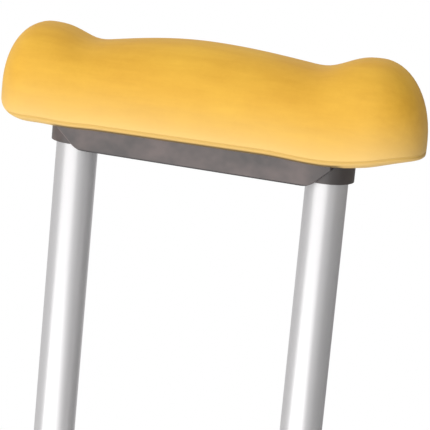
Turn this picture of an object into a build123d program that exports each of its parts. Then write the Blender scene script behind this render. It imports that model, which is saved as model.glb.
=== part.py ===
from build123d import *
import os
from math import cos, pi, radians, sin, sqrt, tan

# An underarm crutch: a rubber pad on a moulded saddle, two bent side tubes with a handgrip
# between them, and a leg that slides in a centre tube and locks with a snap button.
# Millimetres. X runs along the pad, Y goes through the frame, and Z goes up from the sole.
# Everything stands at the middle of its adjustment.

os.makedirs("parts", exist_ok=True)

# Tubes
upright_od = 22.2
upright_wall = 1.2
centre_od = 25.4
centre_wall = 1.2
leg_od = 22.2
leg_wall = 1.2
leg_length = 318.0

# Clearances, all radial or face to face
fit = 0.1
running = 0.3
bolt_play = 0.25
thread_play = 0.05
pad_fit = 0.3

# Frame
upright_spacing = 138.0
bend_angle = 20.0
bend_radius = 150.0
bolt_spacing = 100.0
bolt_to_bend = 40.0
parallel_length = 450.0
tube_end_margin = 25.0
leg_to_bolt = 9.0
mouth_margin = 45.0

# Height setting of the leg
leg_pitch = 25.0
leg_hole_count = 7
button_below_top = 50.0
button_radius = 4.0
button_stand = 2.0
button_edge = 1.6
button_flange = 1.4
button_flange_radius = 5.5
spring_width = 6.0
spring_leaf = 0.7
spring_drop = 42.0
spring_grip = 6.0
spring_arm_bend = 12.0
spring_foot_bend = 2.1

# Fasteners
bolt_radius = 3.0
bolt_point = 0.6
hex_flats = 10.0
head_height = 4.0
head_chamfer = 0.5
nut_height = 5.0
nut_dome_inset = 0.6
washer_radius = 8.0
washer_web = 1.5
spacer_web = 3.0
spacer_depth = 16.0
spacer_height = 22.0
spacer_wrap = 3.0
flat_washer = 1.0
flat_washer_radius = 7.0

# Handgrip
grip_pitch = 25.0
grip_hole_count = 7
grip_margin = 23.0
grip_wrap = 3.4
grip_flange = 9.0
grip_flange_radius = 16.0
grip_core_radius = 10.0
grip_swell = 1.8
wing_span = 15.0
wing_rise = 13.0
wing_thickness = 2.6
wing_corner = 2.0
wing_lean = 6.0
wing_tip = 5.0
wing_root = 1.0
wing_hub = 6.5
wing_hub_taper = 1.5
wing_hub_height = 8.0

# Plugs and caps
plug_length = 18.0
plug_rise = 3.0
plug_bevel = 2.0
plug_wall = 3.0
guide_rise = 3.0
guide_length = 14.0
guide_chamfer = 1.0
collar_radius = 15.5
collar_lip = 6.0
collar_sleeve = 16.0
collar_edge = 1.5
rounded_share = 0.8

# Foot
tip_height = 48.0
sole_radius = 21.0
sole_thickness = 10.0
sole_edge = 4.0
neck_radius = 14.5
neck_start = 24.0
flare_lean = 0.35
bead_radius = 1.2
bead_count = 3
bead_pitch = 5.0
groove_width = 2.0
groove_depth = 1.5
groove_pitch = 5.0
groove_count = 3
washer_thickness = 2.0
washer_hole = 3.0

# Saddle
tube_engagement = 30.0
skirt_half_depth = 17.0
skirt_wall = 2.5
skirt_past_tube = 5.7
skirt_short_of_tube = 5.5
skirt_chamfer_rise = 10.2
skirt_corner = 10.0
skirt_edge = 0.8
collar_wall = 2.7
collar_lift = 2.2
deck_lift = 16.0
deck_thickness = 3.5
deck_half_depth = 18.0
deck_past_left = 20.0
deck_past_right = 16.0
socket_cap = 3.0
rib_thickness = 2.0
rib_lift = 3.0
rib_count = 3
rib_pitch = 30.0
screw_radius = 2.0
screw_head_radius = 4.0
screw_length = 16.0

# Pad, with heights above its own underside
pad_lift = 11.6
pad_half_width = 25.0
pad_left_reach = 42.5
pad_right_reach = 49.0
left_lobe_out = 15.6
left_valley_in = 7.2
right_valley_in = 10.0
right_lobe_out = 17.0
left_lobe_height = 51.2
left_valley_height = 44.9
crown_height = 52.2
right_valley_height = 48.0
right_lobe_height = 56.1
crown_shift = -1.2
left_end_reach = 20.0
right_end_reach = 27.5
left_tip_height = 11.4
right_tip_height = 12.7
tip_half_height = 3.0
tip_half_width = 3.0
underside_slope = 0.0098
right_lift_out = 11.4
right_lift = 5.0
collar_sag = 1.5
sag_reach = 24.0
widest_share = 0.35
crown_power = 2.6
sole_power = 4.5
section_points = 16
end_slices = (0.014, 0.09, 0.23, 0.45, 0.77)

# Radii
upright_r = upright_od / 2
centre_r = centre_od / 2
leg_r = leg_od / 2
upright_bore = upright_r - upright_wall
centre_bore = centre_r - centre_wall
leg_bore = leg_r - leg_wall
collar_r = upright_r + fit + collar_wall

# Heights, stacked up from the sole
leg_bottom = sole_thickness + washer_thickness
leg_top = leg_bottom + leg_length
button_z = leg_top - button_below_top
leg_travel = leg_pitch * (leg_hole_count - 1) / 2
centre_bottom = button_z - leg_travel - mouth_margin
lower_bolt_z = leg_top + guide_rise + leg_travel + bolt_radius + leg_to_bolt
upper_bolt_z = lower_bolt_z + bolt_spacing
centre_top = upper_bolt_z + tube_end_margin
upright_bottom = lower_bolt_z - tube_end_margin
low_x = centre_r + spacer_web + upright_r
upright_x = upright_spacing / 2
bend_tangent = bend_radius * tan(radians(bend_angle) / 2)
bend_rise = (upright_x - low_x) / tan(radians(bend_angle))
lower_corner_z = upper_bolt_z + bolt_to_bend + bend_tangent
upper_corner_z = lower_corner_z + bend_rise
parallel_start = upper_corner_z + bend_tangent
grip_travel = grip_pitch * (grip_hole_count - 1) / 2
grip_z = parallel_start + grip_margin + grip_travel
tube_top = parallel_start + parallel_length
skirt_z = tube_top - tube_engagement
deck_z = skirt_z + deck_lift
pad_z = skirt_z + pad_lift

# Places across the frame
low_bolt_face = low_x + upright_r + washer_web
grip_bolt_face = upright_x + upright_r + washer_web
across = 2 * (grip_bolt_face + wing_rise)
bolt_heights = (lower_bolt_z, upper_bolt_z)


def facing_left(x):
    """A plane across X whose normal points to the left."""
    return Plane(origin=(x, 0, 0), x_dir=(0, -1, 0), z_dir=(-1, 0, 0))


# Uprights, bent outwards from the centre tube to the width of the pad
with BuildPart() as left_upright:
    with BuildLine(Plane.XZ) as upright_path:
        FilletPolyline(
            (-low_x, upright_bottom),
            (-low_x, lower_corner_z),
            (-upright_x, upper_corner_z),
            (-upright_x, tube_top),
            radius=bend_radius,
        )
    with BuildSketch(Plane.XY.offset(upright_bottom)):
        with Locations((-low_x, 0)):
            Circle(upright_r)
            Circle(upright_bore, mode=Mode.SUBTRACT)
    sweep(path=upright_path.wires()[0])
    with BuildSketch(Plane.YZ.offset(-across / 2)) as upright_holes:
        with Locations(*[(0, z) for z in bolt_heights]):
            Circle(bolt_radius + bolt_play)
        with Locations((0, grip_z)):
            with GridLocations(1, grip_pitch, 1, grip_hole_count):
                Circle(bolt_radius + bolt_play)
    extrude(amount=across / 2, mode=Mode.SUBTRACT)
left_upright.part.label = "left_upright"
export_step(left_upright.part, "parts/left_upright.step")

with BuildPart() as right_upright:
    mirror(left_upright.part, about=Plane.YZ)
right_upright.part.label = "right_upright"
export_step(right_upright.part, "parts/right_upright.step")

# Centre tube, with the row of button holes in its front
with BuildPart() as centre_tube:
    with BuildSketch(Plane.XY.offset(centre_bottom)):
        Circle(centre_r)
        Circle(centre_bore, mode=Mode.SUBTRACT)
    extrude(amount=centre_top - centre_bottom)
    with BuildSketch(Plane.XZ):
        with Locations((0, button_z)):
            with GridLocations(1, leg_pitch, 1, leg_hole_count):
                Circle(button_radius + fit)
    extrude(amount=centre_od, mode=Mode.SUBTRACT)
    with BuildSketch(Plane.YZ.offset(-centre_od)):
        with Locations(*[(0, z) for z in bolt_heights]):
            Circle(bolt_radius + bolt_play)
    extrude(amount=2 * centre_od, mode=Mode.SUBTRACT)
centre_tube.part.label = "centre_tube"
export_step(centre_tube.part, "parts/centre_tube.step")

# Plastic saddles that keep the three tubes apart at each bolt
spacer_inner = centre_r - spacer_wrap
spacer_outer = low_x - upright_r + spacer_wrap
with BuildPart() as tube_spacers:
    for side in (-1, 1):
        for z in bolt_heights:
            with Locations((side * (spacer_inner + spacer_outer) / 2, 0, z)):
                Box(spacer_outer - spacer_inner, spacer_depth, spacer_height)
    with BuildSketch(Plane.XY.offset(upright_bottom)):
        Circle(centre_r + fit)
        with Locations((-low_x, 0), (low_x, 0)):
            Circle(upright_r + fit)
    extrude(amount=centre_top, mode=Mode.SUBTRACT)
    with BuildSketch(Plane.YZ.offset(-low_x)):
        with Locations(*[(0, z) for z in bolt_heights]):
            Circle(bolt_radius + bolt_play)
    extrude(amount=2 * low_x, mode=Mode.SUBTRACT)
tube_spacers.part.label = "tube_spacers"
export_step(tube_spacers.part, "parts/tube_spacers.step")

# Bolts through the three tubes, head to the left
with BuildPart() as leg_bolts:
    with BuildSketch(facing_left(-low_bolt_face)):
        with Locations(*[(0, z) for z in bolt_heights]):
            RegularPolygon(hex_flats / 2, 6, major_radius=False)
    extrude(amount=head_height)
    chamfer(leg_bolts.faces().group_by(Axis.X)[0].edges(), head_chamfer)
    with BuildSketch(Plane.YZ.offset(-low_bolt_face)):
        with Locations(*[(0, z) for z in bolt_heights]):
            Circle(bolt_radius)
    extrude(amount=2 * low_bolt_face + nut_height)
leg_bolts.part.label = "leg_bolts"
export_step(leg_bolts.part, "parts/leg_bolts.step")

# Washers hollowed to sit on the uprights, two to a bolt
with BuildPart() as leg_bolt_washers:
    for side in (-1, 1):
        with BuildSketch(Plane.YZ.offset(side * low_x)):
            with Locations(*[(0, z) for z in bolt_heights]):
                Circle(washer_radius)
                Circle(bolt_radius + bolt_play, mode=Mode.SUBTRACT)
        extrude(amount=side * (low_bolt_face - low_x))
    with BuildSketch(Plane.XY.offset(upright_bottom)):
        with Locations((-low_x, 0), (low_x, 0)):
            Circle(upright_r + fit)
    extrude(amount=centre_top, mode=Mode.SUBTRACT)
leg_bolt_washers.part.label = "leg_bolt_washers"
export_step(leg_bolt_washers.part, "parts/leg_bolt_washers.step")

# Domed nuts on the right-hand ends
dome_radius = hex_flats / 2 - nut_dome_inset
with BuildPart() as leg_bolt_nuts:
    with BuildSketch(Plane.YZ.offset(low_bolt_face)):
        with Locations(*[(0, z) for z in bolt_heights]):
            RegularPolygon(hex_flats / 2, 6, major_radius=False)
    extrude(amount=nut_height)
    with BuildSketch(Plane.YZ.offset(low_bolt_face + nut_height)):
        with Locations(*[(0, z) for z in bolt_heights]):
            Circle(dome_radius)
    extrude(amount=dome_radius)
    fillet(leg_bolt_nuts.faces().group_by(Axis.X)[-1].edges(), dome_radius * rounded_share)
    with BuildSketch(Plane.YZ.offset(low_bolt_face)):
        with Locations(*[(0, z) for z in bolt_heights]):
            Circle(bolt_radius + thread_play)
    extrude(amount=nut_height + fit, mode=Mode.SUBTRACT)
leg_bolt_nuts.part.label = "leg_bolt_nuts"
export_step(leg_bolt_nuts.part, "parts/leg_bolt_nuts.step")

# Bevelled plugs in the open tube ends
with BuildPart() as centre_tube_cap:
    with BuildSketch(Plane.XY.offset(centre_top - plug_length)):
        Circle(centre_bore - fit)
    extrude(amount=plug_length)
    with BuildSketch(Plane.XY.offset(centre_top)):
        Circle(centre_r)
    extrude(amount=plug_rise)
    chamfer(centre_tube_cap.edges().group_by(Axis.Z)[-1], plug_bevel)
    with BuildSketch(Plane.XY.offset(centre_top - plug_length)):
        Circle(centre_bore - plug_wall)
    extrude(amount=plug_length, mode=Mode.SUBTRACT)
centre_tube_cap.part.label = "centre_tube_cap"
export_step(centre_tube_cap.part, "parts/centre_tube_cap.step")

with BuildPart() as upright_end_caps:
    with BuildSketch(Plane.XY.offset(upright_bottom)):
        with Locations((-low_x, 0), (low_x, 0)):
            Circle(upright_bore - fit)
    extrude(amount=plug_length)
    with BuildSketch(Plane.XY.offset(upright_bottom)):
        with Locations((-low_x, 0), (low_x, 0)):
            Circle(upright_r)
    extrude(amount=-plug_rise)
    chamfer(upright_end_caps.edges().group_by(Axis.Z)[0], plug_bevel)
    with BuildSketch(Plane.XY.offset(upright_bottom)):
        with Locations((-low_x, 0), (low_x, 0)):
            Circle(upright_bore - plug_wall)
    extrude(amount=plug_length, mode=Mode.SUBTRACT)
upright_end_caps.part.label = "upright_end_caps"
export_step(upright_end_caps.part, "parts/upright_end_caps.step")

# Collar at the centre tube's mouth, which the leg slides through
with BuildPart() as leg_collar:
    with BuildSketch(Plane.XY.offset(centre_bottom - collar_lip)):
        Circle(collar_radius)
        Circle(leg_r + running, mode=Mode.SUBTRACT)
    extrude(amount=collar_lip + collar_sleeve)
    chamfer(leg_collar.edges().filter_by(GeomType.CIRCLE).group_by(SortBy.RADIUS)[-1], collar_edge)
    with BuildSketch(Plane.XY.offset(centre_bottom)):
        Circle(centre_r + fit)
    extrude(amount=collar_sleeve, mode=Mode.SUBTRACT)
leg_collar.part.label = "leg_collar"
export_step(leg_collar.part, "parts/leg_collar.step")

# Leg tube, with one hole for the button
with BuildPart() as leg_tube:
    with BuildSketch(Plane.XY.offset(leg_bottom)):
        Circle(leg_r)
        Circle(leg_bore, mode=Mode.SUBTRACT)
    extrude(amount=leg_length)
    with BuildSketch(Plane.XZ):
        with Locations((0, button_z)):
            Circle(button_radius + fit)
    extrude(amount=leg_od, mode=Mode.SUBTRACT)
leg_tube.part.label = "leg_tube"
export_step(leg_tube.part, "parts/leg_tube.step")

# Guide in the leg tube's top end, a running fit in the centre tube
with BuildPart() as leg_guide_plug:
    with BuildSketch(Plane.XY.offset(leg_top - guide_length)):
        Circle(leg_bore - fit)
    extrude(amount=guide_length)
    with BuildSketch(Plane.XY.offset(leg_top)):
        Circle(centre_bore - running)
    extrude(amount=guide_rise)
    chamfer(leg_guide_plug.edges().group_by(Axis.Z)[-1], guide_chamfer)
    with BuildSketch(Plane.XY.offset(leg_top - guide_length)):
        Circle(leg_bore - plug_wall)
    extrude(amount=guide_length + guide_rise, mode=Mode.SUBTRACT)
leg_guide_plug.part.label = "leg_guide_plug"
export_step(leg_guide_plug.part, "parts/leg_guide_plug.step")

# Snap button, held from inside by its flange
button_face = Plane(origin=(0, 0, button_z), x_dir=(1, 0, 0), z_dir=(0, -1, 0))
flange_seat = sqrt(leg_bore**2 - button_flange_radius**2) - 2 * fit
with BuildPart() as snap_button:
    with BuildSketch(button_face.offset(flange_seat - button_flange)):
        Circle(button_flange_radius)
    extrude(amount=button_flange)
    with BuildSketch(button_face.offset(flange_seat)):
        Circle(button_radius)
    extrude(amount=centre_r + button_stand - flange_seat)
    fillet(snap_button.edges().group_by(Axis.Y)[0], button_edge)
snap_button.part.label = "snap_button"
export_step(snap_button.part, "parts/snap_button.step")

# Bent leaf spring that pushes the button out and bears on the far wall
leaf_front = flange_seat - button_flange - fit - spring_leaf / 2
leaf_back = sqrt(leg_bore**2 - (spring_width / 2) ** 2) - fit - spring_leaf / 2
with BuildPart() as button_spring:
    with BuildSketch(Plane.YZ.offset(-spring_width / 2)):
        with BuildLine():
            FilletPolyline(
                (-leaf_front, button_z + spring_grip),
                (-leaf_front, button_z - spring_grip),
                (0, button_z - spring_drop),
                (leaf_back, button_z - spring_grip),
                (leaf_back, button_z + spring_grip),
                radius=(spring_arm_bend, spring_foot_bend, spring_arm_bend),
            )
        trace(line_width=spring_leaf)
    extrude(amount=spring_width)
button_spring.part.label = "button_spring"
export_step(button_spring.part, "parts/button_spring.step")

# Rubber foot with a flared, ringed sole
with BuildPart() as rubber_tip:
    with BuildSketch(Plane.XZ):
        with BuildLine():
            Line((0, 0), (sole_radius - sole_edge / 4, 0))
            Line((sole_radius - sole_edge / 4, 0), (sole_radius, sole_edge / 4))
            Line((sole_radius, sole_edge / 4), (sole_radius, sole_edge))
            flare = TangentArc(
                (sole_radius, sole_edge),
                (neck_radius, neck_start),
                tangent=(-flare_lean, 1),
            )
            Line(flare @ 1, (neck_radius, tip_height))
            Line((neck_radius, tip_height), (leg_r + fit, tip_height))
            Line((leg_r + fit, tip_height), (leg_r + fit, sole_thickness))
            Line((leg_r + fit, sole_thickness), (0, sole_thickness))
            Line((0, sole_thickness), (0, 0))
        make_face()
        for bead in range(bead_count):
            with Locations((neck_radius, tip_height - bead_radius - bead * bead_pitch)):
                RegularPolygon(bead_radius, 6, major_radius=False)
        with Locations((0, 0)):
            for ring in range(groove_count):
                with Locations(((ring + 1) * groove_pitch, 0)):
                    Rectangle(groove_width, 2 * groove_depth, mode=Mode.SUBTRACT)
    revolve(axis=Axis.Z)
rubber_tip.part.label = "rubber_tip"
export_step(rubber_tip.part, "parts/rubber_tip.step")

with BuildPart() as tip_washer:
    with BuildSketch(Plane.XY.offset(sole_thickness)):
        Circle(leg_r)
        Circle(washer_hole, mode=Mode.SUBTRACT)
    extrude(amount=washer_thickness)
tip_washer.part.label = "tip_washer"
export_step(tip_washer.part, "parts/tip_washer.step")

# Handgrip core, hollowed at both ends to sit on the uprights
core_end = upright_x - upright_r + grip_wrap
grip_middle = Plane(origin=(0, 0, grip_z), x_dir=(1, 0, 0), z_dir=(0, -1, 0))
grip_axis = Axis((0, 0, grip_z), (1, 0, 0))
with BuildPart() as grip_core:
    with BuildSketch(grip_middle):
        with BuildLine():
            Polyline(
                (-core_end, bolt_radius + bolt_play),
                (-core_end, grip_flange_radius),
                (-core_end + grip_flange, grip_flange_radius),
                (-core_end + grip_flange, grip_core_radius),
                (core_end - grip_flange, grip_core_radius),
                (core_end - grip_flange, grip_flange_radius),
                (core_end, grip_flange_radius),
                (core_end, bolt_radius + bolt_play),
                close=True,
            )
        make_face()
    revolve(axis=grip_axis)
    with BuildSketch(Plane.XY.offset(grip_z - grip_flange_radius)):
        with Locations((-upright_x, 0), (upright_x, 0)):
            Circle(upright_r + running)
    extrude(amount=2 * grip_flange_radius, mode=Mode.SUBTRACT)
grip_core.part.label = "grip_core"
export_step(grip_core.part, "parts/grip_core.step")

# Foam sleeve, a little fuller in the middle
sleeve_end = core_end - grip_flange - fit
with BuildPart() as grip_sleeve:
    with BuildSketch(grip_middle):
        with BuildLine():
            Line((-sleeve_end, grip_core_radius + fit), (-sleeve_end, grip_flange_radius))
            ThreePointArc(
                (-sleeve_end, grip_flange_radius),
                (0, grip_flange_radius + grip_swell),
                (sleeve_end, grip_flange_radius),
            )
            Line((sleeve_end, grip_flange_radius), (sleeve_end, grip_core_radius + fit))
            Line((sleeve_end, grip_core_radius + fit), (-sleeve_end, grip_core_radius + fit))
        make_face()
    revolve(axis=grip_axis)
grip_sleeve.part.label = "grip_sleeve"
export_step(grip_sleeve.part, "parts/grip_sleeve.step")

# Bolt through both uprights and the core
wing_face = grip_bolt_face + flat_washer
with BuildPart() as grip_bolt:
    with BuildSketch(facing_left(-grip_bolt_face)):
        with Locations((0, grip_z)):
            RegularPolygon(hex_flats / 2, 6, major_radius=False)
    extrude(amount=head_height)
    chamfer(grip_bolt.faces().sort_by(Axis.X)[0].edges(), head_chamfer)
    with BuildSketch(Plane.YZ.offset(-grip_bolt_face)):
        with Locations((0, grip_z)):
            Circle(bolt_radius)
    extrude(amount=grip_bolt_face + wing_face + wing_hub_height + bolt_radius)
    chamfer(grip_bolt.faces().sort_by(Axis.X)[-1].edges(), bolt_point)
grip_bolt.part.label = "grip_bolt"
export_step(grip_bolt.part, "parts/grip_bolt.step")

with BuildPart() as grip_washers:
    for side in (-1, 1):
        with BuildSketch(Plane.YZ.offset(side * upright_x)):
            with Locations((0, grip_z)):
                Circle(washer_radius)
                Circle(bolt_radius + bolt_play, mode=Mode.SUBTRACT)
        extrude(amount=side * (grip_bolt_face - upright_x))
    with BuildSketch(Plane.XY.offset(grip_z - washer_radius)):
        with Locations((-upright_x, 0), (upright_x, 0)):
            Circle(upright_r + running)
    extrude(amount=2 * washer_radius, mode=Mode.SUBTRACT)
grip_washers.part.label = "grip_washers"
export_step(grip_washers.part, "parts/grip_washers.step")

with BuildPart() as wing_nut_washer:
    with BuildSketch(Plane.YZ.offset(grip_bolt_face)):
        with Locations((0, grip_z)):
            Circle(flat_washer_radius)
            Circle(bolt_radius + bolt_play, mode=Mode.SUBTRACT)
    extrude(amount=flat_washer)
wing_nut_washer.part.label = "wing_nut_washer"
export_step(wing_nut_washer.part, "parts/wing_nut_washer.step")

# Wing nut: a tapered hub with two rounded wings that lean outwards
wing_plane = Plane(origin=(wing_face, 0, grip_z), x_dir=(1, 0, 0), z_dir=(0, -1, 0))
with BuildPart() as wing_nut:
    with BuildSketch(wing_plane):
        with BuildLine():
            Polyline(
                (0, 0),
                (0, wing_hub),
                (wing_hub_height, wing_hub - wing_hub_taper),
                (wing_hub_height, 0),
                close=True,
            )
        make_face()
    revolve(axis=grip_axis)
    with BuildSketch(wing_plane) as wings:
        with BuildLine():
            Polyline(
                (wing_root, bolt_radius),
                (wing_root, wing_hub),
                (wing_rise - wing_lean, wing_span),
                (wing_rise, wing_span),
                (wing_rise, wing_span - wing_tip),
                (wing_hub_height - wing_root, bolt_radius + wing_root),
                close=True,
            )
        make_face()
        fillet(wings.vertices().group_by(Axis.Y)[-1], wing_corner)
        mirror(about=Plane.XZ)
    extrude(amount=wing_thickness / 2, both=True)
    with BuildSketch(Plane.YZ.offset(wing_face)):
        with Locations((0, grip_z)):
            Circle(bolt_radius + thread_play)
    extrude(amount=wing_rise, mode=Mode.SUBTRACT)
wing_nut.part.label = "wing_nut"
export_step(wing_nut.part, "parts/wing_nut.step")

# Saddle moulding: a ribbed channel, a collar round each tube, and a deck that the pad grips
skirt_bottom_x = upright_x - skirt_short_of_tube
skirt_end_x = upright_x + skirt_past_tube


def skirt_outline(inset):
    """Half of the skirt's side outline, from its middle to its end, drawn in by a wall."""
    return (
        (0, skirt_z),
        (skirt_bottom_x - inset, skirt_z),
        (skirt_end_x - inset, skirt_z + skirt_chamfer_rise),
        (skirt_end_x - inset, deck_z),
        (0, deck_z),
    )


with BuildPart() as underarm_saddle:
    with BuildSketch(Plane.XZ) as skirt_side:
        with BuildLine():
            Polyline(*skirt_outline(0), close=True)
        make_face()
        mirror(about=Plane.YZ)
        lowest = skirt_side.vertices().group_by(Axis.Y)[0].sort_by(Axis.X)
        fillet((lowest[0], lowest[-1]), skirt_corner)
    extrude(amount=skirt_half_depth, both=True)
    side_edges = underarm_saddle.faces().filter_by(Axis.Y).edges()
    fillet(side_edges.filter_by(lambda edge: edge.center().Z < deck_z - skirt_edge), skirt_edge)
    with BuildSketch(Plane.XZ):
        with BuildLine():
            Polyline(*skirt_outline(skirt_wall), close=True)
        make_face()
        mirror(about=Plane.YZ)
    extrude(amount=skirt_half_depth - skirt_wall, both=True, mode=Mode.SUBTRACT)
    for rib in range(rib_count):
        with Locations(((rib - (rib_count - 1) / 2) * rib_pitch, 0, (skirt_z + rib_lift + deck_z) / 2)):
            Box(rib_thickness, 2 * skirt_half_depth - skirt_wall, deck_z - skirt_z - rib_lift)
    with Locations((0, 0, (skirt_z + rib_lift + deck_z) / 2)):
        Box(2 * (upright_x - collar_r) + collar_wall, rib_thickness, deck_z - skirt_z - rib_lift)
    with BuildSketch(Plane.XY.offset(skirt_z + collar_lift)):
        with Locations((-upright_x, 0), (upright_x, 0)):
            Circle(collar_r)
    extrude(amount=tube_engagement - collar_lift + socket_cap)
    with BuildSketch(Plane.XY.offset(deck_z)) as deck:
        with Locations(((deck_past_right - deck_past_left) / 2, 0)):
            Rectangle(upright_spacing + deck_past_left + deck_past_right, 2 * deck_half_depth)
        fillet(deck.vertices(), deck_half_depth * rounded_share)
    extrude(amount=deck_thickness)
    with BuildSketch(Plane.XY.offset(skirt_z)):
        with Locations((-upright_x, 0), (upright_x, 0)):
            Circle(upright_r + fit)
    extrude(amount=tube_engagement, mode=Mode.SUBTRACT)
    with Locations((-upright_x, 0, tube_top + socket_cap), (upright_x, 0, tube_top + socket_cap)):
        CounterSinkHole(screw_radius + thread_play, screw_head_radius + thread_play, 2 * socket_cap)
underarm_saddle.part.label = "underarm_saddle"
export_step(underarm_saddle.part, "parts/underarm_saddle.step")

# Plugs in the tubes' top ends, and the screws that hold the saddle to them
with BuildPart() as upright_top_plugs:
    with BuildSketch(Plane.XY.offset(tube_top)):
        with Locations((-upright_x, 0), (upright_x, 0)):
            Circle(upright_bore - fit)
            Circle(screw_radius + thread_play, mode=Mode.SUBTRACT)
    extrude(amount=-plug_length)
upright_top_plugs.part.label = "upright_top_plugs"
export_step(upright_top_plugs.part, "parts/upright_top_plugs.step")

with BuildPart() as saddle_screws:
    for x in (-upright_x, upright_x):
        with BuildSketch(Plane(origin=(x, 0, tube_top + socket_cap), x_dir=(1, 0, 0), z_dir=(0, -1, 0))):
            with BuildLine():
                Polyline(
                    (0, 0),
                    (screw_head_radius, 0),
                    (screw_radius, screw_radius - screw_head_radius),
                    (screw_radius, -screw_length),
                    (0, -screw_length - screw_radius),
                    close=True,
                )
            make_face()
        revolve(axis=Axis((x, 0, 0), (0, 0, 1)))
saddle_screws.part.label = "saddle_screws"
export_step(saddle_screws.part, "parts/saddle_screws.step")

# Underarm pad: one moulded form lofted through cross-sections along its length
pad_left = -upright_x - pad_left_reach
pad_right = upright_x + pad_right_reach
left_lobe_x = -upright_x - left_lobe_out
left_valley_x = -upright_x + left_valley_in
right_valley_x = upright_x - right_valley_in
right_lobe_x = upright_x + right_lobe_out


def ease(start, end, share):
    """A height between two others, level at both ends."""
    return start + (end - start) * (1 - cos(pi * share)) / 2


def spring_off(valley, crown, share):
    """A height that leaves the valley steeply and comes level at the crown."""
    return valley + (crown - valley) * sin(pi / 2 * share)


def crest(x):
    """Height of the pad's crest above its underside, before the ends are rounded."""
    if x <= left_lobe_x:
        return left_lobe_height
    if x <= left_valley_x:
        share = (x - left_lobe_x) / (left_valley_x - left_lobe_x)
        return ease(left_lobe_height, left_valley_height, share)
    if x <= crown_shift:
        share = (x - left_valley_x) / (crown_shift - left_valley_x)
        return spring_off(left_valley_height, crown_height, share)
    if x <= right_valley_x:
        share = (right_valley_x - x) / (right_valley_x - crown_shift)
        return spring_off(right_valley_height, crown_height, share)
    if x <= right_lobe_x:
        share = (x - right_valley_x) / (right_lobe_x - right_valley_x)
        return ease(right_valley_height, right_lobe_height, share)
    return right_lobe_height


def blend(start, end, share):
    """A value part of the way from one to another."""
    return start + (end - start) * share


def end_share(x):
    """How much of the end rounding applies here, from 0 along the pad to 1 at its tips."""
    left = max(0.0, 1 - (x - pad_left) / left_end_reach)
    right = max(0.0, 1 - (pad_right - x) / right_end_reach)
    return 1 - sqrt(1 - max(left, right) ** 2)


def sag(x):
    """How far the pad's underside swells down here, around each collar."""
    away = abs(abs(x) - upright_x) / sag_reach
    return ease(collar_sag, 0, min(1.0, away))


def bulge(value, power):
    """A superellipse's share of its half-axis, with the sign kept."""
    size = abs(value) ** (2 / power)
    return size if value >= 0 else -size


def pad_section(x):
    """Points round the pad's cross-section here, as (y, z)."""
    rounding = end_share(x)
    lift_share = max(0.0, (x - upright_x - right_lift_out) / (pad_right_reach - right_lift_out))
    underside = pad_z + underside_slope * x + ease(0, right_lift, lift_share) - sag(x)
    tip = pad_z + (left_tip_height if x < 0 else right_tip_height)
    low = blend(underside, tip - tip_half_height, rounding)
    high = blend(pad_z + crest(x), tip + tip_half_height, rounding)
    half = blend(pad_half_width, tip_half_width, rounding)
    middle = low + widest_share * (high - low)
    points = []
    for step in range(section_points):
        turn = 2 * pi * step / section_points
        up = sin(turn) >= 0
        power = crown_power if up else sole_power
        reach = high - middle if up else middle - low
        points.append((half * bulge(cos(turn), power), middle + reach * bulge(sin(turn), power)))
    return points


stations = [left_lobe_x, (left_lobe_x + left_valley_x) / 2, left_valley_x, left_valley_x / 2, crown_shift]
stations += [right_valley_x / 2, right_valley_x, (right_valley_x + right_lobe_x) / 2, right_lobe_x]
stations += [pad_left + slice_share * left_end_reach for slice_share in end_slices]
stations += [pad_right - slice_share * right_end_reach for slice_share in end_slices]

with BuildPart() as underarm_pad:
    for x in sorted(stations):
        with BuildSketch(Plane.YZ.offset(x)):
            with BuildLine():
                Spline(*pad_section(x), periodic=True)
            make_face()
    loft()
    with BuildSketch(Plane.XY.offset(deck_z - pad_fit)) as deck_pocket:
        with Locations(((deck_past_right - deck_past_left) / 2, 0)):
            Rectangle(
                upright_spacing + deck_past_left + deck_past_right + 2 * pad_fit,
                2 * (deck_half_depth + pad_fit),
            )
        fillet(deck_pocket.vertices(), deck_half_depth * rounded_share + pad_fit)
    extrude(amount=deck_thickness + 2 * pad_fit, mode=Mode.SUBTRACT)
    with BuildSketch(Plane.XY.offset(skirt_z)):
        with Locations((-upright_x, 0), (upright_x, 0)):
            Circle(collar_r + pad_fit)
    extrude(amount=tube_engagement + socket_cap + pad_fit, mode=Mode.SUBTRACT)
    with BuildSketch(Plane.XY.offset(skirt_z)):
        Rectangle(2 * (skirt_end_x + pad_fit), 2 * (skirt_half_depth + pad_fit))
    extrude(amount=deck_lift, mode=Mode.SUBTRACT)
underarm_pad.part.label = "underarm_pad"
export_step(underarm_pad.part, "parts/underarm_pad.step")
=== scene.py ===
import logging
import math
from dataclasses import dataclass, field
from enum import Enum
from typing import Sequence

import bmesh
import bpy
from mathutils import Matrix, Vector


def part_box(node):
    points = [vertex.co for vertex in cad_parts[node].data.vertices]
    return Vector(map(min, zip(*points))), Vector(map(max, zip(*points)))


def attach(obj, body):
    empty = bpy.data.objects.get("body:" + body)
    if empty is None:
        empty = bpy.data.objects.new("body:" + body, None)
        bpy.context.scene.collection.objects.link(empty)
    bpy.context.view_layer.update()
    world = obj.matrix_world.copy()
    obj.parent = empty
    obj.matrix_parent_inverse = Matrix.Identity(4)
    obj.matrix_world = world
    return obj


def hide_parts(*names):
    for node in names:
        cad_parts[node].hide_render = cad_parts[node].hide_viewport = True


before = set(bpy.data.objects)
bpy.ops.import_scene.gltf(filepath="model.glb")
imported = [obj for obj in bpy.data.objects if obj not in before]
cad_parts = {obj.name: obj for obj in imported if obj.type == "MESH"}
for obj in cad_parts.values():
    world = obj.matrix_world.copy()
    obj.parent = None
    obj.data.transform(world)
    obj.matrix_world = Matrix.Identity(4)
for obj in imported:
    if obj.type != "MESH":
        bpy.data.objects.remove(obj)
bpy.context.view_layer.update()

MM = 0.001
LOG = logging.getLogger("crutch")
Colour = tuple[float, float, float]
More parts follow.
